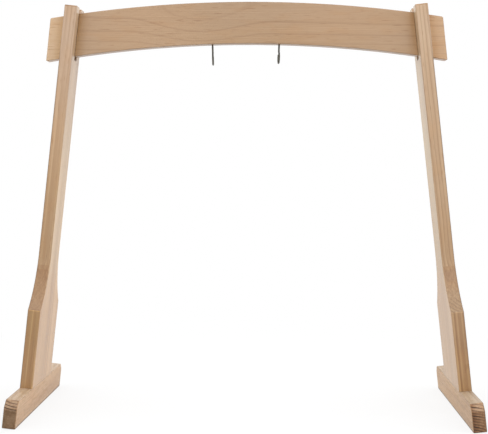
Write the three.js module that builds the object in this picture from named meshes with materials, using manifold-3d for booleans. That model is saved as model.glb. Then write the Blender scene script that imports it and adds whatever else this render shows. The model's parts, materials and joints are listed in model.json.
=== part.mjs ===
// A wooden gong stand: two leaning T-shaped trestles, and an arched crossbeam that drops
// into a fork at the top of each post and carries two screw hooks.
// Millimetres. +Z is up, X runs along the crossbeam, and the front of the stand faces -Y.
// The origin is on the floor, midway between the trestles.

import * as THREE from 'three';
import Module from 'manifold-3d';
import { mergeVertices } from 'three/addons/utils/BufferGeometryUtils.js';

const wasm = await Module();
wasm.setup();

// Sizes of the whole stand
const boardThickness = 35;
const leanAngle = THREE.MathUtils.degToRad(6.4);
const floorSpan = 1220;
const jointGap = 0.3;
const cutOverrun = 5;

// Sanded arrises: how far each one is worn back, and its facets
const arrisEase = 2;
const cornerEase = 4;
const easeSteps = 3;

// Foot boards. Each stands on a flat planed along the inner arris of its underside.
const footLength = 540;
const footHeight = 75;
const footSoleFlat = 10;
const footBevelRun = 15;
const footBevelDrop = 18;

// Posts: narrow above, flaring to a wide base that stands on the foot
const postLength = 1064;
const postWidth = 105;
const postBaseWidth = 230;
const postBaseHeight = 217;
const flareRadius = 230;
const flareSteps = 14;
const forkDepth = 146;

// Crossbeam: both edges are arcs, the upper one flatter, and its ends follow the lean of the posts
const beamHeight = 116;
const beamLowerRadius = 3350;
const beamUpperRadius = 3500;
const beamOverhang = 44;
const beamArcSteps = 40;
const housingDepth = 4;
const housingClearance = 0.5;

// Screw hooks. The left one isn't screwed in as far as the right one.
const hookSpacing = 187;
const hookWire = 5;
const hookLoopRadius = 14.5;
const hookNeckRadius = 8;
const hookShankDrop = 16;
const hookMouthAngle = THREE.MathUtils.degToRad(38);
const hookScrewLength = 28;
const hookPointLength = 6;
const hookSides = 12;
const hookBendSteps = 40;
const leftHookTurn = THREE.MathUtils.degToRad(-1);
const rightHookTurn = THREE.MathUtils.degToRad(6);
const leftHookStandOff = 4;

// Knock-down hardware that ties each foot to its post
const boltDiameter = 8;
const boltLength = 70;
const boltHeadDiameter = 13;
const boltHeadHeight = 8;
const boltSocketAcrossFlats = 6;
const boltSocketDepth = 4;
const boltRimShare = 0.1;
const boltTipShare = 0.125;
const boltInset = 60;
const counterboreDepth = 25;
const washerDiameter = 16;
const washerThickness = 1.6;
const insertDiameter = 14;
const insertLength = 20;
const insertChamferShare = 0.25;
const dowelDiameter = 12;
const dowelLength = 60;
const dowelChamfer = 1.5;
const dowelInset = 23;
const drillClearance = 2;
const roundSides = 32;

// Materials
const woodRoughness = 0.6;
const steelRoughness = 0.35;
const postColour = 0xd2b08c;
const footColour = 0xcba985;
const beamColour = 0xc3a07a;
const dowelColour = 0xd8c09a;
const hookColour = 0x6e6b60;
const zincColour = 0xb4b6b8;
const insertColour = 0xb0a070;

function woodMaterial(color) {
  return new THREE.MeshStandardMaterial({ color, roughness: woodRoughness, metalness: 0 });
}

function steelMaterial(color) {
  return new THREE.MeshStandardMaterial({ color, roughness: steelRoughness, metalness: 1 });
}

// Turns a closed geometry into a solid for joining and cutting
function toSolid(geometry) {
  const bare = new THREE.BufferGeometry();
  bare.setAttribute('position', geometry.getAttribute('position'));
  if (geometry.index) bare.setIndex(geometry.index);
  const merged = mergeVertices(bare);
  const vertProperties = new Float32Array(merged.getAttribute('position').array);
  const triVerts = new Uint32Array(merged.index.array);
  return new wasm.Manifold(new wasm.Mesh({ numProp: 3, vertProperties, triVerts }));
}

// Turns a solid back into a geometry
function toGeometry(solid) {
  const { vertProperties, triVerts } = solid.getMesh();
  const geometry = new THREE.BufferGeometry();
  geometry.setAttribute('position', new THREE.BufferAttribute(vertProperties, 3));
  geometry.setIndex(new THREE.BufferAttribute(triVerts, 1));
  geometry.computeVertexNormals();
  return geometry;
}

// Cuts every tool out of a geometry
function cut(geometry, tools) {
  const solid = tools.reduce((rest, tool) => rest.subtract(toSolid(tool)), toSolid(geometry));
  return toGeometry(solid);
}

function namedMesh(name, geometry, material) {
  const mesh = new THREE.Mesh(geometry, material);
  mesh.name = name;
  return mesh;
}

// A point of an outline. A point with an ease is a corner that gets rounded.
const point = (x, y, ease = 0) => ({ x, y, ease });

// Points on an arc, from one angle to the other
function arcPoints(centre, radius, from, to, steps) {
  return Array.from({ length: steps + 1 }, (_, i) => {
    const angle = THREE.MathUtils.lerp(from, to, i / steps);
    return point(centre.x + radius * Math.cos(angle), centre.y + radius * Math.sin(angle));
  });
}

// A closed outline through the points, with each eased corner rounded
function easedShape(points) {
  const shape = new THREE.Shape();
  points.forEach((corner, i) => {
    const here = new THREE.Vector2(corner.x, corner.y);
    const before = points[(i + points.length - 1) % points.length];
    const after = points[(i + 1) % points.length];
    const start = new THREE.Vector2(before.x, before.y).sub(here).setLength(corner.ease).add(here);
    const end = new THREE.Vector2(after.x, after.y).sub(here).setLength(corner.ease).add(here);
    if (i === 0) shape.moveTo(start.x, start.y);
    else shape.lineTo(start.x, start.y);
    if (corner.ease > 0) shape.quadraticCurveTo(here.x, here.y, end.x, end.y);
  });
  shape.closePath();
  return shape;
}

// A board of the stock thickness with this outline, centred on its middle plane, arrises eased
function boardGeometry(points) {
  const geometry = new THREE.ExtrudeGeometry(easedShape(points), {
    depth: boardThickness - 2 * arrisEase,
    steps: 1,
    curveSegments: easeSteps,
    bevelEnabled: true,
    bevelThickness: arrisEase,
    bevelSize: arrisEase,
    bevelOffset: -arrisEase,
    bevelSegments: easeSteps,
  });
  return geometry.translate(0, 0, arrisEase - boardThickness / 2);
}

// The same outline mirrored front to back, in reverse order
const mirrored = (points) => points.map((p) => point(-p.x, p.y, p.ease)).reverse();

// A hole for a round piece to pass or fit into, from one height up to another, at a place
// along the foot
function bore(pieceDiameter, bottom, top, place) {
  const radius = pieceDiameter / 2 + jointGap;
  const geometry = new THREE.CylinderGeometry(radius, radius, top - bottom, roundSides);
  return geometry.rotateX(Math.PI / 2).translate(0, place, (bottom + top) / 2);
}

// Trestle frame: local X points to the middle of the stand, Y runs along the foot, and
// Z follows the lean of the board from the floor up. Outlines are drawn in Y and Z.
const acrossBoard = new THREE.Matrix4().makeBasis(
  new THREE.Vector3(0, 1, 0),
  new THREE.Vector3(0, 0, 1),
  new THREE.Vector3(1, 0, 0),
);

const postBottom = footHeight + jointGap;
const postTop = postBottom + postLength;
const slotBottom = postTop - forkDepth;
const neckThickness = boardThickness - 2 * housingDepth;
const slotWidth = neckThickness + 2 * jointGap;

// Places along the foot of the two bolts and of the two dowels
const boltPlaces = [boltInset - postBaseWidth / 2, postBaseWidth / 2 - boltInset];
const dowelPlaces = [dowelInset - postBaseWidth / 2, postBaseWidth / 2 - dowelInset];

// Heights of the hardware, measured up the board from the floor
const washerBottom = counterboreDepth - washerThickness - jointGap;
const headBottom = washerBottom - jointGap - boltHeadHeight;
const boltTip = headBottom + boltHeadHeight + boltLength;
const insertBottom = postBottom + jointGap;
const insertTop = insertBottom + insertLength;
const dowelBottom = postBottom - dowelLength / 2;
const dowelTop = dowelBottom + dowelLength;

// The post's outline: half of it, from the foot up to the fork, and its mirror image.
// It runs on below the joint, so that the trimmed end meets the foot with square arrises.
function postOutline() {
  const widening = (postBaseWidth - postWidth) / 2;
  const flareAngle = Math.acos(1 - widening / flareRadius);
  const flareBottom = postBottom + postBaseHeight;
  const flareTop = flareBottom + flareRadius * Math.sin(flareAngle);
  const flareCentre = point(postWidth / 2 + flareRadius, flareTop);
  const flare = arcPoints(flareCentre, flareRadius, Math.PI + flareAngle, Math.PI, flareSteps);
  const rearHalf = [
    point(postBaseWidth / 2, postBottom - arrisEase),
    ...flare,
    point(postWidth / 2, postTop, cornerEase),
    point(slotWidth / 2, postTop, cornerEase),
    point(slotWidth / 2, slotBottom),
  ];
  return [...rearHalf, ...mirrored(rearHalf)];
}

function postGeometry() {
  const board = boardGeometry(postOutline()).applyMatrix4(acrossBoard);
  const below = postBottom - cutOverrun;
  const insertBoreTop = Math.max(insertTop, boltTip) + drillClearance;
  const insertBores = boltPlaces.map((place) => bore(insertDiameter, below, insertBoreTop, place));
  const dowelBoreTop = dowelTop + drillClearance;
  const dowelBores = dowelPlaces.map((place) => bore(dowelDiameter, below, dowelBoreTop, place));
  const trim = new THREE.BoxGeometry(2 * boardThickness, 2 * postBaseWidth, cutOverrun);
  trim.translate(0, 0, postBottom - cutOverrun / 2);
  return cut(board, [trim, ...insertBores, ...dowelBores]);
}

// The foot's outline, square to the board, with the top of each end bevelled off
function footOutline() {
  const underside = (boardThickness / 2 - footSoleFlat) * Math.tan(leanAngle);
  const rearHalf = [
    point(footLength / 2, underside, cornerEase),
    point(footLength / 2, footHeight - footBevelDrop, cornerEase),
    point(footLength / 2 - footBevelRun, footHeight, cornerEase),
  ];
  return [...rearHalf, ...mirrored(rearHalf)];
}

// What is planed off the underside: everything below the floor
function belowFloor() {
  const floor = new THREE.BoxGeometry(2 * boardThickness, 2 * footLength, 2 * cutOverrun);
  return floor.translate(0, 0, -cutOverrun).rotateY(-leanAngle);
}

// The foot, its top arrises left square where the post stands flush on it
function footGeometry() {
  const eased = boardGeometry(footOutline()).applyMatrix4(acrossBoard);
  const underPost = new THREE.BoxGeometry(boardThickness, postBaseWidth, 2 * arrisEase);
  underPost.translate(0, 0, footHeight - arrisEase);
  const board = toGeometry(toSolid(eased).add(toSolid(underPost)));
  const above = footHeight + cutOverrun;
  const boltBores = boltPlaces.flatMap((place) => [
    bore(boltDiameter, -cutOverrun, above, place),
    bore(washerDiameter, -cutOverrun, counterboreDepth, place),
  ]);
  const dowelBoreBottom = dowelBottom - drillClearance;
  const dowelBores = dowelPlaces.map((place) => bore(dowelDiameter, dowelBoreBottom, above, place));
  return cut(board, [belowFloor(), ...boltBores, ...dowelBores]);
}

// A hexagon socket screw, head down, its shank running up into the insert
function boltGeometry() {
  const headRadius = boltHeadDiameter / 2;
  const shankRadius = boltDiameter / 2;
  const headTop = headBottom + boltHeadHeight;
  const rim = boltHeadHeight * boltRimShare;
  const tipChamfer = boltDiameter * boltTipShare;
  const profile = [
    new THREE.Vector2(0, headBottom),
    new THREE.Vector2(headRadius - rim, headBottom),
    new THREE.Vector2(headRadius, headBottom + rim),
    new THREE.Vector2(headRadius, headTop),
    new THREE.Vector2(shankRadius, headTop),
    new THREE.Vector2(shankRadius, boltTip - tipChamfer),
    new THREE.Vector2(shankRadius - tipChamfer, boltTip),
    new THREE.Vector2(0, boltTip),
  ];
  const body = new THREE.LatheGeometry(profile, roundSides).rotateX(Math.PI / 2);
  const socketRadius = boltSocketAcrossFlats / 2 / Math.cos(Math.PI / 6);
  const socketLength = boltSocketDepth + cutOverrun;
  const socket = new THREE.CylinderGeometry(socketRadius, socketRadius, socketLength, 6);
  socket.rotateX(Math.PI / 2).translate(0, 0, headBottom - cutOverrun + socketLength / 2);
  return cut(body, [socket]);
}

function washerGeometry() {
  const inner = boltDiameter / 2 + jointGap;
  const outer = washerDiameter / 2;
  const top = washerBottom + washerThickness;
  const profile = [
    new THREE.Vector2(inner, washerBottom),
    new THREE.Vector2(outer, washerBottom),
    new THREE.Vector2(outer, top),
    new THREE.Vector2(inner, top),
    new THREE.Vector2(inner, washerBottom),
  ];
  return new THREE.LatheGeometry(profile, roundSides).rotateX(Math.PI / 2);
}

// A threaded insert: a sleeve screwed into the end of the post
function insertGeometry() {
  const inner = boltDiameter / 2 + jointGap;
  const outer = insertDiameter / 2;
  const chamfer = (outer - inner) * insertChamferShare;
  const profile = [
    new THREE.Vector2(inner, insertBottom),
    new THREE.Vector2(outer, insertBottom),
    new THREE.Vector2(outer, insertTop - chamfer),
    new THREE.Vector2(outer - chamfer, insertTop),
    new THREE.Vector2(inner, insertTop),
    new THREE.Vector2(inner, insertBottom),
  ];
  return new THREE.LatheGeometry(profile, roundSides).rotateX(Math.PI / 2);
}

function dowelGeometry() {
  const radius = dowelDiameter / 2;
  const profile = [
    new THREE.Vector2(0, dowelBottom),
    new THREE.Vector2(radius - dowelChamfer, dowelBottom),
    new THREE.Vector2(radius, dowelBottom + dowelChamfer),
    new THREE.Vector2(radius, dowelTop - dowelChamfer),
    new THREE.Vector2(radius - dowelChamfer, dowelTop),
    new THREE.Vector2(0, dowelTop),
  ];
  return new THREE.LatheGeometry(profile, roundSides).rotateX(Math.PI / 2);
}

// One trestle. The right one is the left one turned half round, so its front is at +Y there.
function makeTrestle(side) {
  const board = new THREE.Group();
  board.rotation.y = leanAngle;
  board.add(namedMesh(`${side}_post`, postGeometry(), woodMaterial(postColour)));
  board.add(namedMesh(`${side}_foot`, footGeometry(), woodMaterial(footColour)));
  const facing = side === 'left' ? 1 : -1;
  const endName = (place) => (place * facing < 0 ? 'front' : 'rear');
  boltPlaces.forEach((place) => {
    const end = endName(place);
    const pieces = [
      namedMesh(`${side}_${end}_bolt`, boltGeometry(), steelMaterial(zincColour)),
      namedMesh(`${side}_${end}_washer`, washerGeometry(), steelMaterial(zincColour)),
      namedMesh(`${side}_${end}_insert`, insertGeometry(), steelMaterial(insertColour)),
    ];
    pieces.forEach((piece) => {
      piece.position.y = place;
      board.add(piece);
    });
  });
  dowelPlaces.forEach((place) => {
    const name = `${side}_${endName(place)}_dowel`;
    const dowel = namedMesh(name, dowelGeometry(), woodMaterial(dowelColour));
    dowel.position.y = place;
    board.add(dowel);
  });
  const trestle = new THREE.Group();
  board.position.x = -floorSpan / 2;
  trestle.add(board);
  if (side === 'right') trestle.rotation.z = Math.PI;
  trestle.updateMatrixWorld(true);
  return { trestle, board };
}

// A point of the right trestle's leaning board, in the upright plane of the crossbeam:
// this far outside the board's middle plane, and this far up the board from the floor
function leaningPoint(outside, up) {
  const x = floorSpan / 2 - up * Math.sin(leanAngle) + outside * Math.cos(leanAngle);
  return point(x, up * Math.cos(leanAngle) + outside * Math.sin(leanAngle));
}

// The crossbeam rests on the outer arris of each slot, just inside where the arris is eased
const seat = leaningPoint(boardThickness / 2 - arrisEase, slotBottom);
const lowerArcDrop = Math.sqrt(beamLowerRadius ** 2 - seat.x ** 2);
const lowerArcCentre = point(0, seat.y + jointGap - lowerArcDrop);
const upperArcCentre = point(0, lowerArcCentre.y + beamLowerRadius + beamHeight - beamUpperRadius);

// Where the leaning end of the crossbeam meets an arc of its outline, as an angle from +X
function endAngle(arcCentre, radius) {
  const foot = leaningPoint(boardThickness / 2 + beamOverhang, 0);
  const along = new THREE.Vector2(-Math.sin(leanAngle), Math.cos(leanAngle));
  const fromCentre = new THREE.Vector2(foot.x - arcCentre.x, foot.y - arcCentre.y);
  const half = fromCentre.dot(along);
  const up = Math.sqrt(half ** 2 - fromCentre.lengthSq() + radius ** 2) - half;
  return Math.atan2(fromCentre.y + up * along.y, fromCentre.x + up * along.x);
}

function beamOutline() {
  const lowerEnd = endAngle(lowerArcCentre, beamLowerRadius);
  const upperEnd = endAngle(upperArcCentre, beamUpperRadius);
  const opposite = (angle) => Math.PI - angle;
  const lower = arcPoints(lowerArcCentre, beamLowerRadius, opposite(lowerEnd), lowerEnd, beamArcSteps);
  const upper = arcPoints(upperArcCentre, beamUpperRadius, upperEnd, opposite(upperEnd), beamArcSteps);
  [lower, upper].forEach((arc) => {
    arc[0].ease = cornerEase;
    arc[arc.length - 1].ease = cornerEase;
  });
  return [...lower, ...upper];
}

// The housings: angled trenches in both faces of the crossbeam that the fork's prongs fit into
function housingCutters(board) {
  const width = boardThickness + 2 * housingClearance;
  const depth = housingDepth + cutOverrun;
  const height = 2 * forkDepth + beamHeight;
  return [-1, 1].map((face) => {
    const cutter = new THREE.BoxGeometry(width, depth, height);
    cutter.translate(0, face * (neckThickness / 2 + depth / 2), slotBottom + forkDepth / 2);
    return cutter.applyMatrix4(board.matrixWorld);
  });
}

// Where each hook's axis leaves the underside, square to the arc, and its turn about the axis
function hookPlacement(side) {
  const sign = side === 'left' ? -1 : 1;
  const tilt = sign * Math.asin(hookSpacing / 2 / beamLowerRadius);
  const placement = new THREE.Group();
  placement.position.x = beamLowerRadius * Math.sin(tilt);
  placement.position.z = lowerArcCentre.y + beamLowerRadius * Math.cos(tilt);
  placement.rotation.y = tilt;
  placement.updateMatrixWorld(true);
  return placement;
}

const hookRadius = hookWire / 2;
const hookScrewTop = hookScrewLength - hookPointLength;

// The pilot hole of a hook, in the hook's own frame, with its mouth at the underside
function pilotHole(placement) {
  const radius = hookRadius + jointGap;
  const drillPoint = hookPointLength + jointGap;
  const profile = [
    new THREE.Vector2(0, -cutOverrun),
    new THREE.Vector2(radius, -cutOverrun),
    new THREE.Vector2(radius, hookScrewTop),
    new THREE.Vector2(0, hookScrewTop + drillPoint),
  ];
  const hole = new THREE.LatheGeometry(profile, roundSides).rotateX(Math.PI / 2);
  return hole.applyMatrix4(placement.matrixWorld);
}

function beamGeometry(boards, placements) {
  const alongBeam = new THREE.Matrix4().makeBasis(
    new THREE.Vector3(1, 0, 0),
    new THREE.Vector3(0, 0, 1),
    new THREE.Vector3(0, -1, 0),
  );
  const beam = boardGeometry(beamOutline()).applyMatrix4(alongBeam);
  return cut(beam, [...boards.flatMap(housingCutters), ...placements.map(pilotHole)]);
}

// The hook's centre line in its own Y-Z plane: down the shank, forward round the neck,
// then round the loop by the front and the bottom to the tip at the rear
class HookLine extends THREE.Curve {
  constructor() {
    super();
    this.neckDrop = Math.sqrt(hookLoopRadius ** 2 + 2 * hookNeckRadius * hookLoopRadius);
    this.neckStart = -hookShankDrop;
    this.loopCentre = this.neckStart - this.neckDrop;
    this.neckAngle = Math.atan2(this.neckDrop, hookNeckRadius);
    this.loopAngle = this.neckAngle + Math.PI + hookMouthAngle;
    this.lengths = [
      hookScrewTop + hookShankDrop,
      hookNeckRadius * this.neckAngle,
      hookLoopRadius * this.loopAngle,
    ];
    this.total = this.lengths.reduce((sum, length) => sum + length, 0);
  }

  getPoint(t, target = new THREE.Vector3()) {
    const distance = t * this.total;
    const [shank, neck] = this.lengths;
    if (distance <= shank) return target.set(0, 0, hookScrewTop - distance);
    if (distance <= shank + neck) {
      const angle = (distance - shank) / hookNeckRadius;
      const forward = hookNeckRadius * (1 - Math.cos(angle));
      return target.set(0, -forward, this.neckStart - hookNeckRadius * Math.sin(angle));
    }
    const angle = Math.PI - this.neckAngle + (distance - shank - neck) / hookLoopRadius;
    return target.set(
      0,
      hookLoopRadius * Math.cos(angle),
      this.loopCentre + hookLoopRadius * Math.sin(angle),
    );
  }
}

function hookGeometry() {
  const line = new HookLine();
  const section = new THREE.Shape();
  section.absarc(0, 0, hookRadius, 0, 2 * Math.PI, false);
  const wire = new THREE.ExtrudeGeometry(section, {
    steps: hookBendSteps,
    curveSegments: hookSides / 2,
    bevelEnabled: false,
    extrudePath: line,
  });
  const tip = new THREE.SphereGeometry(hookRadius, hookSides, hookSides / 2);
  const tipPlace = line.getPoint(1);
  tip.translate(tipPlace.x, tipPlace.y, tipPlace.z);
  const screwPoint = new THREE.ConeGeometry(hookRadius, hookPointLength, hookSides);
  screwPoint.rotateX(Math.PI / 2).translate(0, 0, hookScrewTop + hookPointLength / 2);
  return toGeometry(toSolid(wire).add(toSolid(tip)).add(toSolid(screwPoint)));
}

function makeHook(side, placement) {
  const hook = namedMesh(`${side}_hook`, hookGeometry(), steelMaterial(hookColour));
  hook.rotation.z = side === 'left' ? leftHookTurn : rightHookTurn;
  if (side === 'left') hook.position.z = -leftHookStandOff;
  placement.add(hook);
  return placement;
}

const left = makeTrestle('left');
const right = makeTrestle('right');
const leftPlacement = hookPlacement('left');
const rightPlacement = hookPlacement('right');
const beam = beamGeometry([left.board, right.board], [leftPlacement, rightPlacement]);

const gongStand = new THREE.Group();
gongStand.add(left.trestle);
gongStand.add(right.trestle);
gongStand.add(namedMesh('crossbeam', beam, woodMaterial(beamColour)));
gongStand.add(makeHook('left', leftPlacement));
gongStand.add(makeHook('right', rightPlacement));
gongStand.updateMatrixWorld(true);

export default gongStand;
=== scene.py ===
import json
import math
from collections import namedtuple

import bmesh
import bpy
from mathutils import Matrix, Vector


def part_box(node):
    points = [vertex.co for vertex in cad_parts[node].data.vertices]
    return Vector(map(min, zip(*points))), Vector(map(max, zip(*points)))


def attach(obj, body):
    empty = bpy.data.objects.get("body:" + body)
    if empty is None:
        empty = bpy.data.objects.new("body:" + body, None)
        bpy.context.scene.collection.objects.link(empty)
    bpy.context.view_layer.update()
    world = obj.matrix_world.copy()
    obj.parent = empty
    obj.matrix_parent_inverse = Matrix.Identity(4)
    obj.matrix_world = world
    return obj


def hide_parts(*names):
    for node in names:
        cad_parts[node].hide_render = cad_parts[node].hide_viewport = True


# Gong stand: two leaning trestles, an arched crossbeam in their forks, two screw hooks.
# Lengths are in metres, angles in radians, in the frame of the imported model:
# +X to the right, +Y to the rear, +Z up, origin on the floor in the middle.

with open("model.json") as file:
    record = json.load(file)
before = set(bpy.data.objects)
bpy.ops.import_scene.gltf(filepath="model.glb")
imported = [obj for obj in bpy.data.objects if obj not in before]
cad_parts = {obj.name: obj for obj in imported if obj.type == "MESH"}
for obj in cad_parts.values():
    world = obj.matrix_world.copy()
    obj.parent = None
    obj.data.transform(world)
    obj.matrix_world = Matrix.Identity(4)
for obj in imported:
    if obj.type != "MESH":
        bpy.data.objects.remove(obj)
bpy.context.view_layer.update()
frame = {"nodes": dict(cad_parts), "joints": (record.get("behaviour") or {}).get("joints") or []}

UP = Vector((0, 0, 1))
DOWN = Vector((0, 0, -1))
REAR = Vector((0, 1, 0))
RIGHT = Vector((1, 0, 0))
SIDES = {"left": -1, "right": 1}


def lean_of(side):
    """Unit vector up the post of the trestle on a side."""
    lift = next(joint for joint in frame["joints"] if joint["name"] == "crossbeam_lift")
    along = Vector(lift["axis"])
    return Vector((-side * along.x, 0, along.z)).normalized()


def middle(node):
    """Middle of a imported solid's box."""
    low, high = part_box(node)
    return (low + high) / 2


def new_object(name, data):
    """An object that is linked to the scene."""
    thing = bpy.data.objects.new(name, data)
    bpy.context.scene.collection.objects.link(thing)
    return thing


# Nodes of materials, of the floor and of the world

NOISE_SCALE = 1.0
BUMP_STRENGTH = 1.0


def rgba(red, green, blue):
    return (red, green, blue, 1.0)


class Nodes:
    """A node tree under construction. Most methods add a node and return its output socket."""

    def __init__(self, tree):
        self.tree = tree

    def add(self, kind, **settings):
        node = self.tree.nodes.new(kind)
        for key, value in settings.items():
            setattr(node, key, value)
        return node

    def feed(self, socket, value):
        if isinstance(value, bpy.types.NodeSocket):
            self.tree.links.new(value, socket)
        else:
            socket.default_value = value

    def feed_all(self, node, values):
        for socket, value in zip(node.inputs, values):
            self.feed(socket, value)

    def math(self, operation, *values, clamp=False):
        node = self.add("ShaderNodeMath", operation=operation, use_clamp=clamp)
        self.feed_all(node, values)
        return node.outputs[0]

    def vector(self, operation, *values, result="Vector"):
        node = self.add("ShaderNodeVectorMath", operation=operation)
        self.feed_all(node, values)
        return node.outputs[result]

    def parts(self, vector):
        node = self.add("ShaderNodeSeparateXYZ")
        self.feed(node.inputs[0], vector)
        return node.outputs[0], node.outputs[1], node.outputs[2]

    def smooth(self, value, start, full, low=0.0, high=1.0):
        """low up to start, high from full on and a smooth passage between."""
        node = self.add("ShaderNodeMapRange", interpolation_type="SMOOTHSTEP")
        self.feed(node.inputs["Value"], value)
        self.feed(node.inputs["From Min"], start)
        self.feed(node.inputs["From Max"], full)
        self.feed(node.inputs["To Min"], low)
        self.feed(node.inputs["To Max"], high)
        return node.outputs["Result"]

    def source(self, kind, **values):
        """A node that reflects or gives off light, with the values of its sockets."""
        node = self.add(kind)
        for name, value in values.items():
            self.feed(node.inputs[name], value)
        return node.outputs[0]

    def mixed(self, factor, first, second):
        """The first of two sources where factor is 0 and the second where it is 1."""
        node = self.add("ShaderNodeMixShader")
        self.feed_all(node, (factor, first, second))
        return node.outputs[0]


class Shader(Nodes):
    """The nodes of an object's material."""

    def __init__(self, name):
        self.material = bpy.data.materials.new(name)
        self.material.use_nodes = True
        super().__init__(self.material.node_tree)
        self.surface = self.tree.nodes["Principled BSDF"]
        self.place = self.add("ShaderNodeTexCoord").outputs["Object"]
        self.point = self.place

    def turn_to(self, origin, thickness_axis, grain_axis):
        """From here on, X of a point runs through the board, Y across it and Z along its grain."""
        offset = self.vector("SUBTRACT", self.place, origin)
        axes = (thickness_axis, grain_axis.cross(thickness_axis), grain_axis)
        node = self.add("ShaderNodeCombineXYZ")
        self.feed_all(node, [self.dot(offset, axis) for axis in axes])
        self.point = node.outputs[0]

    def attribute(self, name):
        return self.add("ShaderNodeAttribute", attribute_name=name).outputs["Fac"]

    def dot(self, vector, axis):
        return self.vector("DOT_PRODUCT", vector, axis, result="Value")

    def noise(self, kind, seed):
        """Smooth noise between 0 and 1."""
        scaled = self.vector("MULTIPLY", self.point, kind.spots)
        shift = seed + kind.seed
        node = self.add("ShaderNodeTexNoise")
        self.feed(node.inputs["Vector"], self.vector("ADD", scaled, (shift, shift, shift)))
        self.feed(node.inputs["Scale"], NOISE_SCALE)
        self.feed(node.inputs["Detail"], kind.detail)
        return node.outputs["Fac"]

    def swing(self, kind, seed, amount):
        """Noise between minus and plus half of amount."""
        centred = self.math("SUBTRACT", self.noise(kind, seed), 0.5)
        return self.math("MULTIPLY", centred, amount)

    def marks(self, layer, seed):
        """1 on the marks of a layer and 0 between them."""
        return self.smooth(self.noise(layer, seed), layer.start, layer.full)

    def blend(self, factor, first, second, how="MIX"):
        node = self.add("ShaderNodeMix", data_type="RGBA", blend_type=how)
        self.feed(node.inputs["Factor"], factor)
        self.feed(node.inputs["A"], first)
        self.feed(node.inputs["B"], second)
        return node.outputs["Result"]

    def tinted(self, colour, tone, share):
        """A colour multiplied by a tone, as far as share says."""
        return self.blend(share, colour, rgba(*tone), "MULTIPLY")

    def overlaid(self, colour, layer, seed):
        """A colour with the marks of a layer over it."""
        share = self.math("MULTIPLY", self.marks(layer, seed), layer.strength)
        return self.tinted(colour, layer.tint, share)

    def set(self, name, value):
        self.feed(self.surface.inputs[name], value)

    def bump(self, height, distance):
        node = self.add("ShaderNodeBump")
        self.feed(node.inputs["Height"], height)
        self.feed(node.inputs["Distance"], distance)
        self.feed(node.inputs["Strength"], BUMP_STRENGTH)
        self.set("Normal", node.outputs["Normal"])


# Smooth noise: how many spots a metre it has through, across and along a board, what it adds to the
# board's seed, and its detail.
Noise = namedtuple("Noise", "spots seed detail")

WANDER = Noise((7.0, 7.0, 1.4), 0.0, 1.0)
WAVER = Noise((45.0, 45.0, 5.0), 3.0, 2.0)

# Marks made from such noise. start and full are the values of the noise where a mark starts and
# where it is complete, and tint and strength are its colour and how much of it shows.
Layer = namedtuple("Layer", "spots seed detail start full tint strength", defaults=(None, 1.0))

PORE_TINT = (0.72, 0.66, 0.62)

BANDS = Layer((110.0, 18.0, 1.3), 7.0, 1.0, 0.35, 0.62, (0.66, 0.56, 0.48))
STREAKS = Layer((450.0, 450.0, 9.0), 11.0, 2.0, 0.35, 0.75, (0.92, 0.90, 0.87), 0.5)
PATCHES = Layer((9.0, 9.0, 2.5), 17.0, 1.0, 0.4, 0.65, (1.0, 0.94, 0.84), 0.5)
BLUSHES = Layer((50.0, 50.0, 14.0), 19.0, 1.0, 0.5, 0.7, (1.0, 0.95, 0.88), 0.6)
FLECKS = Layer((900.0, 900.0, 40.0), 23.0, 1.0, 0.62, 0.75, (0.86, 0.82, 0.78))
DASHES = Layer((260.0, 260.0, 22.0), 31.0, 1.0, 0.66, 0.76, (0.80, 0.72, 0.65))
SPECKLES = Layer((190.0, 190.0, 60.0), 47.0, 2.0, 0.45, 0.65, (0.82, 0.78, 0.68))
WEAR = Layer((60.0, 60.0, 25.0), 29.0, 2.0, 0.3, 0.6, (0.88, 0.88, 0.92))
STAINS = Layer((110.0, 110.0, 12.0), 43.0, 1.0, 0.42, 0.62, (0.78, 0.68, 0.58))
MOTTLE = Layer((330.0, 330.0, 30.0), 37.0, 1.0, 0.35, 0.65, PORE_TINT, 0.6)
PORES = Layer((1200.0, 1200.0, 1200.0), 41.0, 1.0, 0.5, 0.75, PORE_TINT, 0.6)
SCRATCHES = Layer((2500.0, 2500.0, 90.0), 0.0, 3.0, 0.4, 0.7)
CLOUDS = Layer((120.0, 120.0, 120.0), 5.0, 2.0, 0.3, 0.7)

# Late wood darkens up to a share of the year and ends sharply with it. Some years show less.
LATE_FULL = 0.93
LATE_CLOSE = 0.94
FAINTEST_YEAR = 0.2
YEAR_RANGE = 0.9

# On end grain the line is wider, and the years differ less.
END_LATE_START = 0.05
END_LATE_FULL = 0.5
END_FAINTEST_YEAR = 0.4
END_YEAR_RANGE = 0.6

OILED_ROUGHNESS = 0.42
STREAK_ROUGHNESS = 0.1
WORN_ROUGHNESS = 0.08
END_ROUGHNESS = 0.15
COAT_ROUGHNESS = 0.25
STREAK_HEIGHT = 0.0002
# The widths of the painted shadow in a joint's gap and of the painted shade beside it
GAP_SHADOW_WIDTH = 0.0016
JOINT_SHADE_WIDTH = 0.035

PALE_WOOD = (0.60, 0.42, 0.28)
DARK_WOOD = (0.36, 0.21, 0.12)
PALE_END_WOOD = (0.42, 0.28, 0.175)
DARK_END_WOOD = (0.06, 0.025, 0.01)
# The painted shadow in the gap beside a joint
GAP_SHADOW_TONE = (0.42, 0.34, 0.26)

# How a board's tree grew and how it was cut from the log. pith is where the middle of the log lies
# in the board's cross-section, slope how far it drifts for each metre of length, ring the width
# of a year's growth, late_start the share of the year when the wood starts to darken, wander and
# waver how far the rings stray at large and small scale. swelling is where along the board
# the trunk was thickest, how far it took to narrow, and by how much.
Growth = namedtuple("Growth", "pith slope ring seed late_start wander waver swelling",
                    defaults=(0.35, 0.03, 0.004, (0.0, 1.0, 0.0)))

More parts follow.
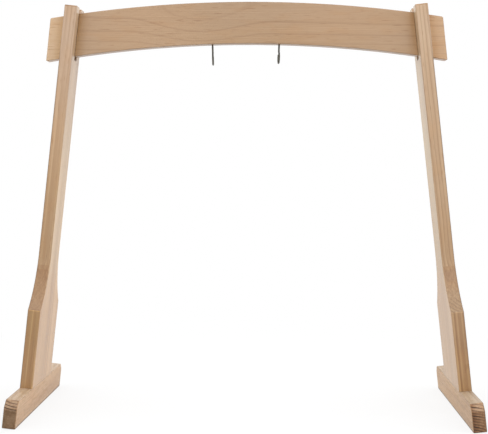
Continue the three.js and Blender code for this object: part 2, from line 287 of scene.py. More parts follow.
# The look of a board's end grain: its two colours, how strong its lines and its stains are, how far
# a face leans across the grain where the look starts and where it is full, and its fades and
# tone changes.
Ends = namedtuple("Ends", "pale dark strength stains start full fades changes",
                  defaults=(PALE_END_WOOD, DARK_END_WOOD, 0.5, 0.8, 0.02, 0.75, (), ()))

# The look of the rest of a board. figure, bands and speckles are how strong its year lines, its
# bands and its speckles are, fades and band_fades where the first two weaken. shade is its tone
# beside the plain wood's, polish how much its oil shines, changes the tone changes of its long
# faces, edges those of the whole board, and joints the boards that cross it, beside which it gets a
# painted shadow and a painted shade.
Finish = namedtuple("Finish", "figure shade bands speckles polish ends changes fades band_fades "
                    "edges joints", defaults=((1, 1, 1), 0.53, 0.0, 0.55, Ends(), (), (), (), (), ()))

# What a tone change goes by: an axis of the board in its material, or a mark on its faces. A tone
# change is the new tone, or for a fade the share that is lost, and then its ranges: each is what
# it goes by, the value where the change starts and the value where it is complete.
THROUGH = 0
ACROSS = 1
ALONG = 2
ARRIS = 3
KINK = 4


def shaded(colour, shade):
    return tuple(part * share for part, share in zip(colour, shade))


def year_lines(shader, growth):
    """The dark late wood of each year's ring, from 0 to 1, round a pith that drifts along the board,
    and how well each year's wood shows on a planed face."""
    x, y, z = shader.parts(shader.point)
    from_x = shader.math("ADD", x, shader.math("MULTIPLY_ADD", z, growth.slope[0], -growth.pith[0]))
    from_y = shader.math("ADD", y, shader.math("MULTIPLY_ADD", z, growth.slope[1], -growth.pith[1]))
    thickest, reach, narrowing = growth.swelling
    past = shader.math("ABSOLUTE", shader.math("SUBTRACT", z, thickest))
    from_x = shader.math("MULTIPLY_ADD", shader.smooth(past, 0.0, reach), narrowing, from_x)
    squares = shader.math("ADD", shader.math("POWER", from_x, 2.0), shader.math("POWER", from_y, 2.0))
    radius = shader.math("SQRT", squares)
    wander = shader.swing(WANDER, growth.seed, growth.wander)
    waver = shader.swing(WAVER, growth.seed, growth.waver)
    grown = shader.math("ADD", shader.math("ADD", radius, wander), waver)
    years = shader.math("DIVIDE", grown, growth.ring)
    season = shader.math("FRACT", years)
    rise = shader.smooth(season, growth.late_start, LATE_FULL)
    fall = shader.smooth(season, 1.0, LATE_CLOSE)
    late = shader.math("MULTIPLY", shader.math("POWER", rise, 2.0), fall)
    white = shader.add("ShaderNodeTexWhiteNoise", noise_dimensions="1D")
    shader.feed(white.inputs["W"], shader.math("ADD", shader.math("FLOOR", years), growth.seed))
    return late, shader.math("MULTIPLY_ADD", white.outputs["Value"], YEAR_RANGE, FAINTEST_YEAR)


def within(shader, ranges):
    """1 where every range is complete, 0 where one of them hasn't started."""
    places = (*shader.parts(shader.point), shader.attribute("arris"), shader.attribute("kink"))
    share = 1.0
    for kind, start, full in ranges:
        share = shader.math("MULTIPLY", shader.smooth(places[kind], start, full), share)
    return share


def changed(shader, colour, changes):
    """A colour after each of its tone changes."""
    for tone, *ranges in changes:
        colour = shader.tinted(colour, tone, within(shader, ranges))
    return colour


def faded(shader, line, fades):
    """The strength of a line after each of its fades. A loss below zero makes it stronger."""
    for loss, *ranges in fades:
        kept = shader.math("MULTIPLY_ADD", within(shader, ranges), -loss, 1.0)
        line = shader.math("MULTIPLY", line, kept)
    return line


def planed_wood(shader, late, vigour, finish):
    """The long faces, with the year lines between the wood's pale and dark tones."""
    line = shader.math("MULTIPLY", shader.math("MULTIPLY", late, vigour), finish.figure)
    line = faded(shader, line, finish.fades)
    pale = shaded(PALE_WOOD, finish.shade)
    dark = shaded(DARK_WOOD, finish.shade)
    return changed(shader, shader.blend(line, rgba(*pale), rgba(*dark)), finish.changes)


def end_wood(shader, late, vigour, seed, ends):
    """End grain, with the rings as fine dark lines and open pores."""
    line = shader.math("MULTIPLY", shader.smooth(late, END_LATE_START, END_LATE_FULL), ends.strength)
    clear = shader.math("MULTIPLY_ADD", vigour, END_YEAR_RANGE, END_FAINTEST_YEAR, clamp=True)
    line = faded(shader, shader.math("MULTIPLY", line, clear), ends.fades)
    colour = shader.blend(line, rgba(*ends.pale), rgba(*ends.dark))
    colour = changed(shader, colour, ends.changes)
    for layer in (STAINS._replace(strength=ends.stains), MOTTLE, PORES):
        colour = shader.overlaid(colour, layer, seed)
    return colour


def marked(shader, colour, streaks, worn, seed, finish):
    """A colour with the marks of the wood and of its use over it."""
    band = shader.math("MULTIPLY", shader.marks(BANDS, seed), finish.bands)
    colour = shader.tinted(colour, BANDS.tint, faded(shader, band, finish.band_fades))
    colour = shader.tinted(colour, STREAKS.tint, shader.math("MULTIPLY", streaks, STREAKS.strength))
    for layer in (PATCHES, BLUSHES, FLECKS, DASHES):
        colour = shader.overlaid(colour, layer, seed)
    if finish.speckles:
        colour = shader.overlaid(colour, SPECKLES._replace(strength=finish.speckles), seed)
    return shader.tinted(colour, WEAR.tint, worn)


def painted_joint_shade(shader, colour, joints):
    """A painted shadow as dark lines across a board in the gaps beside a joint's arrises, and a painted
    shade, darker and warmer, beside them. Each joint is the middle of the board that crosses it, the
    way through that board, half of its width, and the painted shade's tone."""
    for centre, way, half, tone in joints:
        offset = shader.vector("SUBTRACT", shader.place, centre)
        distance = shader.math("ABSOLUTE", shader.dot(offset, way))
        colour = shader.tinted(colour, tone, shader.smooth(distance, half + JOINT_SHADE_WIDTH, half))
        near = shader.smooth(distance, half - GAP_SHADOW_WIDTH, half)
        far = shader.smooth(distance, half + GAP_SHADOW_WIDTH, half + GAP_SHADOW_WIDTH / 2)
        colour = shader.tinted(colour, GAP_SHADOW_TONE, shader.math("MULTIPLY", near, far))
    return colour


def wood(name, origin, thickness_axis, grain_axis, growth, finish):
    """Oiled wood in a board's own axes."""
    shader = Shader(name)
    shader.turn_to(origin, thickness_axis, grain_axis)
    late, vigour = year_lines(shader, growth)
    streaks = shader.marks(STREAKS, growth.seed)
    worn = shader.math("MULTIPLY", shader.marks(WEAR, growth.seed), shader.attribute("arris"))
    end_grain = shader.smooth(shader.attribute("end_grain"), finish.ends.start, finish.ends.full)

    colour = planed_wood(shader, late, vigour, finish)
    colour = marked(shader, colour, streaks, worn, growth.seed, finish)
    colour = painted_joint_shade(shader, colour, finish.joints)
    end_colour = end_wood(shader, late, vigour, growth.seed, finish.ends)
    colour = shader.blend(end_grain, colour, end_colour)
    shader.set("Base Color", changed(shader, colour, finish.edges))

    roughness = shader.math("MULTIPLY_ADD", streaks, STREAK_ROUGHNESS, OILED_ROUGHNESS)
    roughness = shader.math("MULTIPLY_ADD", worn, WORN_ROUGHNESS, roughness)
    shader.set("Roughness", shader.math("MULTIPLY_ADD", end_grain, END_ROUGHNESS, roughness))
    shader.set("Coat Weight", finish.polish)
    shader.set("Coat Roughness", COAT_ROUGHNESS)
    shader.bump(streaks, STREAK_HEIGHT)
    return shader.material


# Steels: name of the material, colour, roughness and seed

ZINC_PLATED = ("zinc plated steel", (0.62, 0.63, 0.64), 0.3, 2.0)
YELLOW_PLATED = ("yellow plated steel", (0.55, 0.46, 0.26), 0.35, 8.0)
HOOK_STEEL = ("hook steel", (0.15, 0.14, 0.115), 0.34, 14.0)
DULL_SHADE = (0.6, 0.6, 0.6)
SCRATCH_DULLNESS = 0.3
SCRATCH_ROUGHNESS = 0.15
SCRATCH_DEPTH = 0.00005


def steel(name, colour, roughness, seed):
    """Plated or oiled steel: fine lengthwise scratches and uneven dullness."""
    shader = Shader(name)
    scratches = shader.marks(SCRATCHES, seed)
    dull = rgba(*shaded(colour, DULL_SHADE))
    worn = shader.blend(shader.marks(CLOUDS, seed), rgba(*colour), dull)
    duller = shader.math("MULTIPLY", scratches, SCRATCH_DULLNESS)
    shader.set("Base Color", shader.blend(duller, worn, dull))
    shader.set("Metallic", 1.0)
    shader.set("Roughness", shader.math("MULTIPLY_ADD", scratches, SCRATCH_ROUGHNESS, roughness))
    shader.bump(scratches, SCRATCH_DEPTH)
    return shader.material


# Boards: how their meshes are dressed

SLICE_LENGTH = 0.03
FACET_ANGLE = math.radians(0.5)
CREASE_ANGLE = math.radians(35)
MERGE_DISTANCE = 1e-5
ARRIS_WIDTH = 0.0016
ARRIS_END_SHARE = 0.5
KINK_REACH = 0.0022
KINK_FACING = 0.8


def cut_across(mesh, place, axis):
    everything = mesh.verts[:] + mesh.edges[:] + mesh.faces[:]
    bmesh.ops.bisect_plane(mesh, geom=everything, plane_co=place, plane_no=axis)


def slice_along(mesh, origin, axis, reach):
    """Cuts a mesh across its grain at even steps, so that its arrises can vary along their length."""
    steps = int(reach / SLICE_LENGTH)
    for step in range(-steps, steps + 1):
        cut_across(mesh, origin + axis * (step * SLICE_LENGTH), axis)


def is_arris(face):
    """True for the narrow facets that round an arris."""
    return face.calc_area() < ARRIS_WIDTH * max(edge.calc_length() for edge in face.edges)


def mark_faces(mesh, grain_axis):
    """Marks how far each face leans across the grain, and each facet of a rounded arris, where hands
    and floors wear the finish first and where an outer arris gets a painted shade."""
    end_layer = mesh.faces.layers.float.new("end_grain")
    arris_layer = mesh.faces.layers.float.new("arris")
    for face in mesh.faces:
        face[end_layer] = abs(face.normal.dot(grain_axis))
        if is_arris(face):
            face[arris_layer] = 1.0
            face[end_layer] *= ARRIS_END_SHARE


def cut_kink(mesh, origin, axis):
    """Cuts narrow strips above and below the line where a post's flare meets its base, and returns
    how far that line lies along the post."""
    widest = max(abs(corner.co.y) for corner in mesh.verts)
    base = [corner for corner in mesh.verts if abs(corner.co.y) > widest - MERGE_DISTANCE]
    kink = max((corner.co - origin).dot(axis) for corner in base)
    for place in (kink - KINK_REACH, kink + KINK_REACH):
        cut_across(mesh, origin + axis * place, axis)
    return kink


def mark_kink(mesh, origin, axis, kink):
    """Marks the strips beside a kink on the front and rear of a post, which get a pale line: a painted
    highlight along the arris, and partly wear.
    """
    layer = mesh.faces.layers.float.new("kink")
    for face in mesh.faces:
        near = abs((face.calc_center_median() - origin).dot(axis) - kink) < KINK_REACH
        if near and abs(face.normal.y) > KINK_FACING:
            face[layer] = 1.0


def finished_mesh(mesh, name):
    """Smooth mesh data from a mesh under construction."""
    for face in mesh.faces:
        face.smooth = True
    data = bpy.data.meshes.new(name)
    mesh.to_mesh(data)
    mesh.free()
    return data


def dressed_board(node, body, material, grain_axis):
    """A board as it leaves the bench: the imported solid's form with softly rounded, worn arrises."""
    mesh = bmesh.new()
    mesh.from_mesh(frame["nodes"][node].data)
    bmesh.ops.remove_doubles(mesh, verts=mesh.verts[:], dist=MERGE_DISTANCE)
    bmesh.ops.dissolve_limit(mesh, angle_limit=FACET_ANGLE, verts=mesh.verts[:], edges=mesh.edges[:])
    low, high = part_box(node)
    slice_along(mesh, middle(node), grain_axis, (high - low).length / 2)
    mark_faces(mesh, grain_axis)
    if node.endswith("post"):
        mark_kink(mesh, middle(node), grain_axis, cut_kink(mesh, middle(node), grain_axis))
    data = finished_mesh(mesh, node + "_board")
    data.materials.clear()
    data.materials.append(material)
    data.set_sharp_from_angle(angle=CREASE_ANGLE)
    board = new_object(node + "_board", data)
    weighted = board.modifiers.new("even shading", "WEIGHTED_NORMAL")
    weighted.keep_sharp = True
    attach(board, body)
    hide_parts(node)
    return board


def make_board(node, body, thickness_axis, grain_axis, growth, finish):
    """One board with its own wood, cut from its own place in the log."""
    material = wood(node + " wood", middle(node), thickness_axis, grain_axis, growth, finish)
    dressed_board(node, body, material, grain_axis)


# Crossbeam: its stubs outside the posts are paler, partly painted light against the shade the posts
# cast on them, the left one with few lines, and its middle is darker with a painted shade

BEAM_GROWTH = Growth(pith=(-0.23, 0.10), slope=(-0.010, 0.0), ring=0.0125, seed=5.3, late_start=0.72,
                     wander=0.004, waver=0.002, swelling=(-0.13, 0.2, 0.0125))
BEAM_FIGURE = 0.45
BEAM_BANDS = 0.107
BEAM_SHADE = (0.73, 0.71, 0.67)
LEFT_STUB = (ALONG, -0.47, -0.52)
RIGHT_STUB = (ALONG, 0.47, 0.52)
BEAM_MIDDLE = ((ALONG, -0.25, -0.05), (ALONG, 0.25, 0.05))
# The paler stubs: partly painted light against the shade of the posts
LEFT_STUB_SHADE = (1.42, 1.52, 1.58)
RIGHT_STUB_SHADE = (1.31, 1.32, 1.34)
LEFT_STUB_FADE = 0.75
# Painted shade on the middle of the beam
MIDDLE_PAINTED_SHADE = (0.93, 0.92, 0.89)
# Painted shade on the beam beside each post, darker and warmer
JOINT_SHADE_TONES = {"left": (0.89, 0.81, 0.64), "right": (0.99, 0.92, 0.78)}
POST_HALF_THICKNESS = 0.0175


def make_crossbeam():
    """A flat-sawn board: the year lines lie wide apart and dip below a swelling of the trunk."""
    joints = []
    for name, side in SIDES.items():
        way = lean_of(side).cross(REAR)
        joints.append((middle(name + "_post"), way, POST_HALF_THICKNESS, JOINT_SHADE_TONES[name]))
    changes = (
        (LEFT_STUB_SHADE, LEFT_STUB),
        (RIGHT_STUB_SHADE, RIGHT_STUB),
        (MIDDLE_PAINTED_SHADE, *BEAM_MIDDLE),
    )
    finish = Finish(BEAM_FIGURE, shade=BEAM_SHADE, bands=BEAM_BANDS, changes=changes,
                    fades=((LEFT_STUB_FADE, LEFT_STUB),), joints=joints)
    make_board("crossbeam", "crossbeam", REAR, RIGHT, BEAM_GROWTH, finish)


# Posts: stretches along a post, measured from its middle, where its tones start and are full

POST_GROWTHS = {
    "left": Growth(pith=(0.09, -0.06), slope=(0.004, 0.0), ring=0.0075, seed=109.2, wander=0.02),
    "right": Growth(pith=(-0.09, -0.06), slope=(-0.004, 0.0), ring=0.0065, seed=101.8, wander=0.02),
}
POST_FIGURE = 0.75
POST_BANDS = {"left": 0.53, "right": 0.355}
WHOLE_POST = (ALONG, 0.5, -0.5)
TOP = (ALONG, 0.15, 0.35)
BELOW_FORK = (ALONG, 0.42, 0.38)
WAIST = ((ALONG, 0.2, 0.0), (ALONG, -0.42, -0.34))
UPPER_INNER = (ALONG, 0.0, 0.3)
MIDDLE_INNER = ((ALONG, 0.28, 0.12), (ALONG, -0.28, -0.16))
LOW_INNER = (ALONG, -0.3, -0.5)
BASE = (ALONG, -0.29, -0.33)
LOW_BASE = (ALONG, -0.40, -0.46)
ON_KINK = (KINK, 0.0, 1.0)
ON_ARRIS = (ARRIS, 0.0, 1.0)

# Shares of the half thickness where the tone of a face and that of an outer arris start and
# where they are full
FACE_START = 0.94
FACE_FULL = 0.99
OUTER_ARRIS_START = 0.85
OUTER_ARRIS_FULL = 0.95

POST_SHADE = (0.995, 1.045, 1.07)
TOP_SHADES = {"left": (0.925, 0.94, 1.01), "right": (0.95, 0.955, 0.965)}
WAIST_SHADES = {"left": (0.97, 0.975, 0.945), "right": (1.06, 1.085, 1.11)}
BASE_SHADE = (0.76, 0.67, 0.54)
BASE_FRONT_SHADES = {"left": (1.12, 1.17, 1.085), "right": (1.005, 0.985, 0.965)}
LOW_FRONT_SHADES = {"left": (1.04, 1.03, 1.05), "right": (1.10, 1.12, 1.07)}
BASE_BANDS_GAIN = {"left": 0.7, "right": 1.3}
# Painted light on the posts' inner faces, which are made lighter and warmer, set along their height
INNER_PAINTED_LIGHT = {"left": (1.22, 1.16, 1.02), "right": (1.08, 1.045, 0.93)}
UPPER_INNER_PAINTED_LIGHT = {"left": (0.88, 0.95, 1.05), "right": (0.91, 0.98, 1.05)}
MIDDLE_INNER_PAINTED_LIGHT = {"left": (1.04, 1.17, 1.3), "right": (0.99, 1.1, 1.14)}
LOW_INNER_PAINTED_LIGHT = {"left": (1.04, 1.03, 0.98), "right": (1.01, 0.99, 0.84)}
# A pale line on the kink: a painted highlight, partly wear
KINK_HIGHLIGHT_SHADES = {"left": (1.36, 1.34, 1.2), "right": (1.16, 1.18, 1.2)}
# A painted shade on the outer arrises of the posts and feet
OUTER_ARRIS_PAINTED_SHADE = (0.52, 0.50, 0.47)

# The end grain that shows on the flares. It is darker where it starts at the top and cooler
# further down, and on the right flare the rings show only near the bottom.
LEFT_FLARE_TOP = (ALONG, -0.245, -0.22)
LEFT_LOW_FLARE = (ALONG, -0.26, -0.315)
LEFT_FLARE_TOP_SHADE = (0.92, 0.88, 0.85)
LEFT_LOW_FLARE_SHADE = (0.945, 0.985, 1.10)
RIGHT_FLARE_TOP = ((ALONG, -0.200, -0.208), (ALONG, -0.24, -0.23))
RIGHT_LOW_FLARE = (ALONG, -0.24, -0.275)
RIGHT_PLAIN_FLARE = (ALONG, -0.293, -0.275)
RIGHT_PLAIN_LOSS = 0.85
RIGHT_FLARE_TOP_SHADE = (0.90, 0.89, 0.94)
RIGHT_LOW_FLARE_SHADE = (0.935, 0.995, 1.06)
FLARES = {
    "left": Ends(pale=(0.398, 0.240, 0.122), strength=0.06, stains=0.35, start=0.16, full=0.21,
                 changes=((LEFT_FLARE_TOP_SHADE, LEFT_FLARE_TOP),
                          (LEFT_LOW_FLARE_SHADE, LEFT_LOW_FLARE))),
    "right": Ends(pale=(0.455, 0.288, 0.159), strength=0.35, stains=0.25, start=0.16, full=0.18,
                  fades=((RIGHT_PLAIN_LOSS, RIGHT_PLAIN_FLARE),),
                  changes=((RIGHT_FLARE_TOP_SHADE, *RIGHT_FLARE_TOP),
                           (RIGHT_LOW_FLARE_SHADE, RIGHT_LOW_FLARE))),
}


def outer_arris_of(face):
    """The tone change of the outer arris of a leaning board: a painted shade, on a post only below its
    fork.
    """
    outermost = (THROUGH, -OUTER_ARRIS_START * face, -OUTER_ARRIS_FULL * face)
    return (OUTER_ARRIS_PAINTED_SHADE, ON_ARRIS, outermost, BELOW_FORK)


def post_finish(name, face):
    """The look of a post. face is where its inner face lies, through the post from its middle."""
    on_inner = (THROUGH, FACE_START * face, FACE_FULL * face)
    not_inner = (THROUGH, FACE_FULL * face, FACE_START * face)
    not_outer = (THROUGH, -FACE_FULL * face, -FACE_START * face)
    changes = (
        (BASE_SHADE, WHOLE_POST),
        (BASE_FRONT_SHADES[name], BASE, not_inner, not_outer),
        (LOW_FRONT_SHADES[name], LOW_BASE, not_inner, not_outer),
        (WAIST_SHADES[name], *WAIST, not_inner),
        (TOP_SHADES[name], TOP),
        (INNER_PAINTED_LIGHT[name], on_inner),
        (UPPER_INNER_PAINTED_LIGHT[name], on_inner, UPPER_INNER),
        (MIDDLE_INNER_PAINTED_LIGHT[name], on_inner, *MIDDLE_INNER),
        (LOW_INNER_PAINTED_LIGHT[name], on_inner, LOW_INNER),
    )
    stronger_bands = (-BASE_BANDS_GAIN[name], BASE, not_inner, not_outer)
    edges = ((KINK_HIGHLIGHT_SHADES[name], ON_KINK), outer_arris_of(face))
    return Finish(POST_FIGURE, shade=POST_SHADE, bands=POST_BANDS[name], ends=FLARES[name],
                  changes=changes, band_fades=(stronger_bands,), edges=edges)


# Feet: their tops are paler and cooler, dust and a painted sheen, and their lower edges darker, a
# painted contact shadow and scuffs

FOOT_GROWTHS = {
    "left": Growth(pith=(-0.012, 0.13), slope=(0.0, 0.01), ring=0.0066, seed=26.0, waver=0.002),
    "right": Growth(pith=(0.05, -0.16), slope=(0.0, 0.01), ring=0.007, seed=39.0, waver=0.003,
                    late_start=0.2),
}
FOOT_FIGURE = 0.5
FOOT_SPECKLES = 0.8
FOOT_POLISH = 0.12
FOOT_SHADES = {"left": (0.98, 0.915, 0.785), "right": (0.865, 0.80, 0.62)}
# The tops of the feet: dust and a painted sheen
DUST_AND_SHEEN = (ACROSS, 0.0345, 0.0363)
# The lower edges of the feet: a painted contact shadow and scuffs
SHADOWED_AND_SCUFFED = (ACROSS, -0.0305, -0.0335)
DUST_AND_SHEEN_SHADES = {"left": (0.87, 0.98, 1.17), "right": (0.87, 1.03, 1.42)}
SHADOWED_AND_SCUFFED_SHADE = (0.42, 0.40, 0.36)

# The end grain of the feet is darker below, at the core of the tree. On the left foot the rings fade
# there, on the right one they fade to the outside, and its inner side is darker as well.
LEFT_CORE = (ACROSS, 0.018, 0.008)
LEFT_CORE_SHADE = (0.50, 0.45, 0.36)
LEFT_CORE_LOSS = 0.9
RIGHT_CORE = (ACROSS, 0.022, 0.014)
RIGHT_CORE_SHADE = (0.64, 0.56, 0.48)
RIGHT_INSIDE = (THROUGH, 0.002, 0.016)
RIGHT_INSIDE_SHADE = (0.62, 0.50, 0.40)
RIGHT_OUTSIDE = (THROUGH, 0.006, -0.014)
RIGHT_OUTSIDE_LOSS = 0.55
FOOT_ENDS = {
    "left": Ends(pale=(0.44, 0.295, 0.185), strength=1.0, fades=((LEFT_CORE_LOSS, LEFT_CORE),),
                 changes=((LEFT_CORE_SHADE, LEFT_CORE),)),
    "right": Ends(pale=(0.52, 0.34, 0.21), strength=1.0, fades=((RIGHT_OUTSIDE_LOSS, RIGHT_OUTSIDE),),
                  changes=((RIGHT_CORE_SHADE, RIGHT_CORE), (RIGHT_INSIDE_SHADE, RIGHT_INSIDE))),
}


def foot_finish(name, face):
    """The look of a foot. face is where its inner face lies, through the foot from its middle."""
    changes = ((DUST_AND_SHEEN_SHADES[name], DUST_AND_SHEEN), (SHADOWED_AND_SCUFFED_SHADE, SHADOWED_AND_SCUFFED))
    return Finish(FOOT_FIGURE, shade=FOOT_SHADES[name], speckles=FOOT_SPECKLES, polish=FOOT_POLISH,
                  ends=FOOT_ENDS[name], changes=changes, edges=(outer_arris_of(face),))


def make_trestle(name, side):
    """A post and its foot."""
    lean = lean_of(side)
    through = lean.cross(REAR)
    body = name + "_trestle"
    face = side * POST_HALF_THICKNESS
    make_board(name + "_post", body, through, lean, POST_GROWTHS[name],
               post_finish(name, face))
    make_board(name + "_foot", body, through, REAR, FOOT_GROWTHS[name],
               foot_finish(name, face))


# Fastenings inside the trestles

DOWEL_GROWTH = Growth(pith=(0.02, 0.0), slope=(0.0, 0.0), ring=0.003, seed=40.0)
DOWEL_FIGURE = 0.3


def make_fastenings():
    """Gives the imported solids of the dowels, bolts, washers and inserts their materials."""
    zinc = steel(*ZINC_PLATED)
    insert = steel(*YELLOW_PLATED)
    dowel = wood("dowel wood", Vector(), RIGHT, UP, DOWEL_GROWTH, Finish(DOWEL_FIGURE))
    finishes = {"bolt": zinc, "washer": zinc, "insert": insert, "dowel": dowel}
    for name, node in frame["nodes"].items():
        kind = name.split("_")[-1]
        if kind in finishes:
            node.data.materials.clear()
            node.data.materials.append(finishes[kind])


# Screw hooks: wire bent to a loop, with a thread cut on the end that goes into the crossbeam

WIRE_RADIUS = 0.0025
POINT_RADIUS = WIRE_RADIUS / 20
LOOP_RADIUS = 0.0145
NECK_RADIUS = 0.008
SHANK_DROP = 0.016
MOUTH_ANGLE = math.radians(38)
SCREW_LENGTH = 0.028
POINT_LENGTH = 0.006
THREAD_END = 0.001
THREAD_PITCH = 0.002
THREAD_DEPTH = 0.0006
THREAD_SHARPNESS = 3
THREAD_STEPS_A_TURN = 8
THREAD_RUNOUT = THREAD_PITCH / 4
BEND_STEP = math.radians(4)
WIRE_SIDES = 24
TIP_STEPS = 6
HOOK_TURNS = {"left": math.radians(2), "right": math.radians(5)}
HOOK_STAND_OFFS = {"left": 0.004, "right": 0.0}


def hook_line():
    """The bent part of the wire in its own Y-Z plane: pairs of a point and the direction there."""
    drop = math.sqrt(LOOP_RADIUS ** 2 + 2 * NECK_RADIUS * LOOP_RADIUS)
    neck_angle = math.atan2(drop, NECK_RADIUS)
    neck = Vector((0, -NECK_RADIUS, -SHANK_DROP))
    loop = Vector((0, 0, -SHANK_DROP - drop))
    line = []
    steps = round(neck_angle / BEND_STEP)
    for step in range(steps):
        angle = neck_angle * step / steps
        out = Vector((0, math.cos(angle), -math.sin(angle)))
        line.append((neck + out * NECK_RADIUS, Vector((0, out.z, -out.y))))
    loop_angle = neck_angle + math.pi + MOUTH_ANGLE
    steps = round(loop_angle / BEND_STEP)
    for step in range(steps + 1):
        angle = math.pi - neck_angle + loop_angle * step / steps
        out = Vector((0, math.cos(angle), math.sin(angle)))
        line.append((loop + out * LOOP_RADIUS, Vector((0, -out.z, out.y))))
    return line


def thread_radius(height, turn):
    """Radius of the threaded end at a height above the crossbeam's underside and a turn round it,
    from 0 to 1."""
    core = WIRE_RADIUS
    if height > SCREW_LENGTH - POINT_LENGTH:
        core *= (SCREW_LENGTH - height) / POINT_LENGTH
    phase = (height / THREAD_PITCH + turn) % 1
    groove = THREAD_DEPTH * (0.5 + 0.5 * math.cos(2 * math.pi * phase)) ** THREAD_SHARPNESS
    return max(core - groove, POINT_RADIUS)


def wire_ring(mesh, place, along, radius_at):
    """A ring of vertices round the wire, which runs square to X everywhere."""
    up = along.cross(RIGHT)
    ring = []
    for side in range(WIRE_SIDES):
        turn = side / WIRE_SIDES
        out = RIGHT * math.cos(2 * math.pi * turn) + up * math.sin(2 * math.pi * turn)
        ring.append(mesh.verts.new(place + out * radius_at(turn)))
    return ring


def hook_rings(mesh):
    """The rings of a hook's wire, from its point to its tip."""
    rings = []
    steps = round((SCREW_LENGTH + THREAD_END) / THREAD_PITCH * THREAD_STEPS_A_TURN)
    for step in range(steps + 1):
        height = SCREW_LENGTH - (SCREW_LENGTH + THREAD_END) * step / steps
        place = Vector((0, 0, height))
        rings.append(wire_ring(mesh, place, DOWN, lambda turn: thread_radius(height, turn)))
    below_thread = Vector((0, 0, -THREAD_END - THREAD_RUNOUT))
    rings.append(wire_ring(mesh, below_thread, DOWN, lambda turn: WIRE_RADIUS))
    line = hook_line()
    for place, along in line:
        rings.append(wire_ring(mesh, place, along, lambda turn: WIRE_RADIUS))
    end, along = line[-1]
    for step in range(1, TIP_STEPS):
        angle = math.pi / 2 * step / TIP_STEPS
        place = end + along * (WIRE_RADIUS * math.sin(angle))
        rings.append(wire_ring(mesh, place, along, lambda turn: WIRE_RADIUS * math.cos(angle)))
    return rings


def hook_mesh(name):
    """A hook that enters the crossbeam at the origin, before it is turned and placed."""
    mesh = bmesh.new()
    rings = hook_rings(mesh)
    for first, second in zip(rings, rings[1:]):
        for side in range(WIRE_SIDES):
            after = (side + 1) % WIRE_SIDES
            mesh.faces.new((first[side], first[after], second[after], second[side]))
    mesh.faces.new(reversed(rings[0]))
    mesh.faces.new(rings[-1])
    bmesh.ops.recalc_face_normals(mesh, faces=mesh.faces[:])
    return finished_mesh(mesh, name)


def make_hooks():
    """Each hook stands at its joint, turned and let down a little as in the photograph."""
    finish = steel(*HOOK_STEEL)
    for side in SIDES:
        joint = next(joint for joint in frame["joints"] if joint["name"] == side + "_hook_turn")
        axis = Vector(joint["axis"])
        turn = Matrix.Rotation(HOOK_TURNS[side], 4, "Z")
        drop = Matrix.Translation((0, 0, -HOOK_STAND_OFFS[side]))
        tilt = Matrix.Rotation(math.atan2(axis.x, axis.z), 4, "Y")
        data = hook_mesh(side + "_wire_hook")
        data.transform(Matrix.Translation(joint["pos_m"]) @ tilt @ drop @ turn)
        data.materials.append(finish)
        hook = new_object(side + "_wire_hook", data)
        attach(hook, side + "_hook")
        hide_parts(side + "_hook")


# Studio: floor, light all round, soft lamps and the camera

FLOOR_RADIUS = 30.0
FLOOR_SIDES = 128
FLOOR_GAP = 0.0002
FLOOR_PAINT = rgba(0.8, 0.8, 0.8)
FLOOR_BOUNCE = rgba(0.42, 0.34, 0.25)
WHITE = rgba(1, 1, 1)
SHADOW_REACH = 0.5
SHADOW_END = 1.6
SHADOW_STRENGTH = 0.2
SKY_LIGHT = 0.42
SIDE_LIGHT = 2.05

# Each lamp's name, place, the point that it faces, width, height and power
LAMPS = (
    ("left front light", (-0.8, -1.6, 2.2), (0, 0, 0.8), 2.0, 1.2, 15),
    ("right front light", (0.8, -1.6, 2.2), (0, 0, 0.8), 2.0, 1.2, 15),
    ("rear light", (0.0, 1.6, 2.2), (0, 0, 0.9), 3.2, 1.2, 24),
)

# Camera, as fitted to the outlines in the photograph. Its sensor is measured in millimetres.
IMAGE_WIDTH_PIXELS = 488
FOCAL_PIXELS = 985
SENSOR_WIDTH = 36
CAMERA_PLACE = Vector((0.0741, -2.7865, 0.6576))
CAMERA_PITCH = 0.0411
CAMERA_YAW = -0.0283
CAMERA_ROLL = 0.0006


def blank_nodes(owner):
    """The emptied node tree of a material or a world."""
    owner.use_nodes = True
    owner.node_tree.nodes.clear()
    return Nodes(owner.node_tree)


def seen_directly(nodes):
    """1 for what the camera, a reflection or a transmission sees, 0 for what only lights the object."""
    path = nodes.add("ShaderNodeLightPath")
    seen = path.outputs["Is Camera Ray"]
    for ray in ("Is Glossy Ray", "Is Transmission Ray"):
        seen = nodes.math("ADD", seen, path.outputs[ray], clamp=True)
    return seen


def floor_paint():
    """White to the eye apart from the object's soft shadow. Its bounce on the object is warmer."""
    material = bpy.data.materials.new("floor")
    nodes = blank_nodes(material)
    lit = nodes.source("ShaderNodeBsdfDiffuse", Color=FLOOR_PAINT)
    bounce = nodes.source("ShaderNodeBsdfDiffuse", Color=FLOOR_BOUNCE)
    glow = nodes.source("ShaderNodeEmission")
    place = nodes.add("ShaderNodeTexCoord").outputs["Object"]
    reach = nodes.vector("LENGTH", place, result="Value")
    fade = nodes.smooth(reach, SHADOW_REACH, SHADOW_END, low=1 - SHADOW_STRENGTH)
    shown = nodes.mixed(fade, lit, glow)
    surface = nodes.mixed(seen_directly(nodes), bounce, shown)
    nodes.feed(nodes.add("ShaderNodeOutputMaterial").inputs["Surface"], surface)
    return material


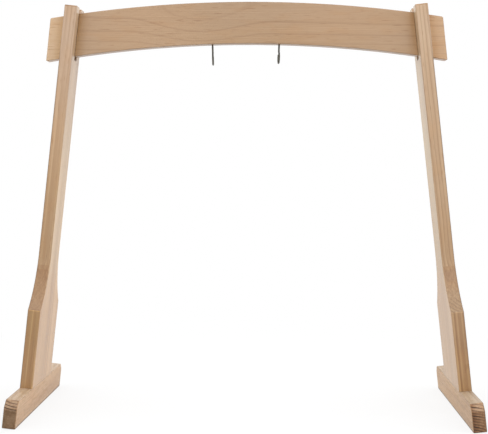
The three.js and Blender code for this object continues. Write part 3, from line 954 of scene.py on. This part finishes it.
def make_floor():
    bpy.ops.mesh.primitive_circle_add(vertices=FLOOR_SIDES, radius=FLOOR_RADIUS, fill_type="NGON")
    floor = bpy.context.object
    floor.name = "floor"
    floor.location.z = -FLOOR_GAP
    floor.data.materials.append(floor_paint())


def make_world():
    """White where the camera or a reflection sees it. On the object it is a plain soft light,
    stronger from the left and right than from the front and rear."""
    world = bpy.data.worlds.new("studio")
    bpy.context.scene.world = world
    nodes = blank_nodes(world)
    direction = nodes.add("ShaderNodeTexCoord").outputs["Generated"]
    sideways = nodes.math("POWER", nodes.parts(direction)[0], 2.0)
    level = nodes.math("MULTIPLY_ADD", sideways, SIDE_LIGHT, SKY_LIGHT)
    lights = nodes.source("ShaderNodeBackground", Color=WHITE, Strength=level)
    white = nodes.source("ShaderNodeBackground", Color=WHITE)
    surface = nodes.mixed(seen_directly(nodes), lights, white)
    nodes.feed(nodes.add("ShaderNodeOutputWorld").inputs["Surface"], surface)


def make_lamp(name, place, target, width, height, power):
    """A soft lamp that lights the object and isn't seen itself."""
    data = bpy.data.lights.new(name, "AREA")
    data.shape = "RECTANGLE"
    data.size = width
    data.size_y = height
    data.energy = power
    lamp = new_object(name, data)
    lamp.location = place
    lamp.rotation_euler = (Vector(target) - Vector(place)).to_track_quat("-Z", "Y").to_euler()
    lamp.visible_camera = False
    lamp.visible_glossy = False


def make_camera():
    data = bpy.data.cameras.new("camera")
    data.sensor_fit = "HORIZONTAL"
    data.sensor_width = SENSOR_WIDTH
    data.lens = FOCAL_PIXELS / IMAGE_WIDTH_PIXELS * SENSOR_WIDTH
    camera = new_object("camera", data)
    aim = Matrix.Rotation(-CAMERA_YAW, 4, "Z") @ Matrix.Rotation(math.pi / 2 - CAMERA_PITCH, 4, "X")
    camera.matrix_world = Matrix.Translation(CAMERA_PLACE) @ aim @ Matrix.Rotation(CAMERA_ROLL, 4, "Z")
    bpy.context.scene.camera = camera


make_camera()
make_world()
for lamp in LAMPS:
    make_lamp(*lamp)
make_floor()
make_crossbeam()
for name, side in SIDES.items():
    make_trestle(name, side)
make_hooks()
make_fastenings()

bpy.context.scene.view_settings.view_transform = "Standard"
